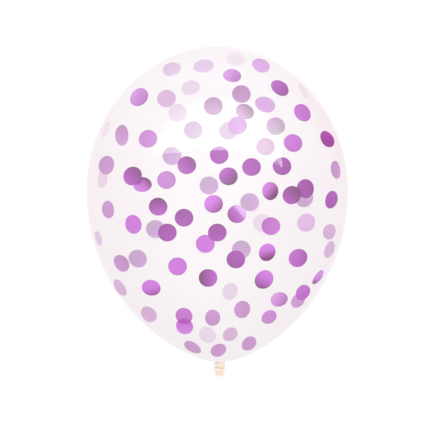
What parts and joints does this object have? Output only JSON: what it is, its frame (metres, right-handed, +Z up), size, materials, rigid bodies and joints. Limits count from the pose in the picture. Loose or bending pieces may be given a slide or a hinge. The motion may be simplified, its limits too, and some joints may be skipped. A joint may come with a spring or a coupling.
{
  "type": "confetti balloon",
  "caption": "Clear inflated latex balloon lying on its side, its neck wound and knotted shut, with round foil confetti clinging inside.",
  "frame": {"origin": "on the ground, under the middle of the overall length, within the small flat spot that the balloon lies on", "axes": "+Z up; +Y along the balloon from its tied neck to its crown; +X to the right seen from above with the crown up"},
  "size_m": [0.283, 0.3568, 0.281],
  "materials": {
    "clear_latex": "clear, faintly milky, soft gloss",
    "unstretched_latex": "cream, dull",
    "confetti_foil": "metallised purple film, satin"
  },
  "bodies": {
    "root": {"balloon": "clear_latex"}
  },
  "joints": []
}
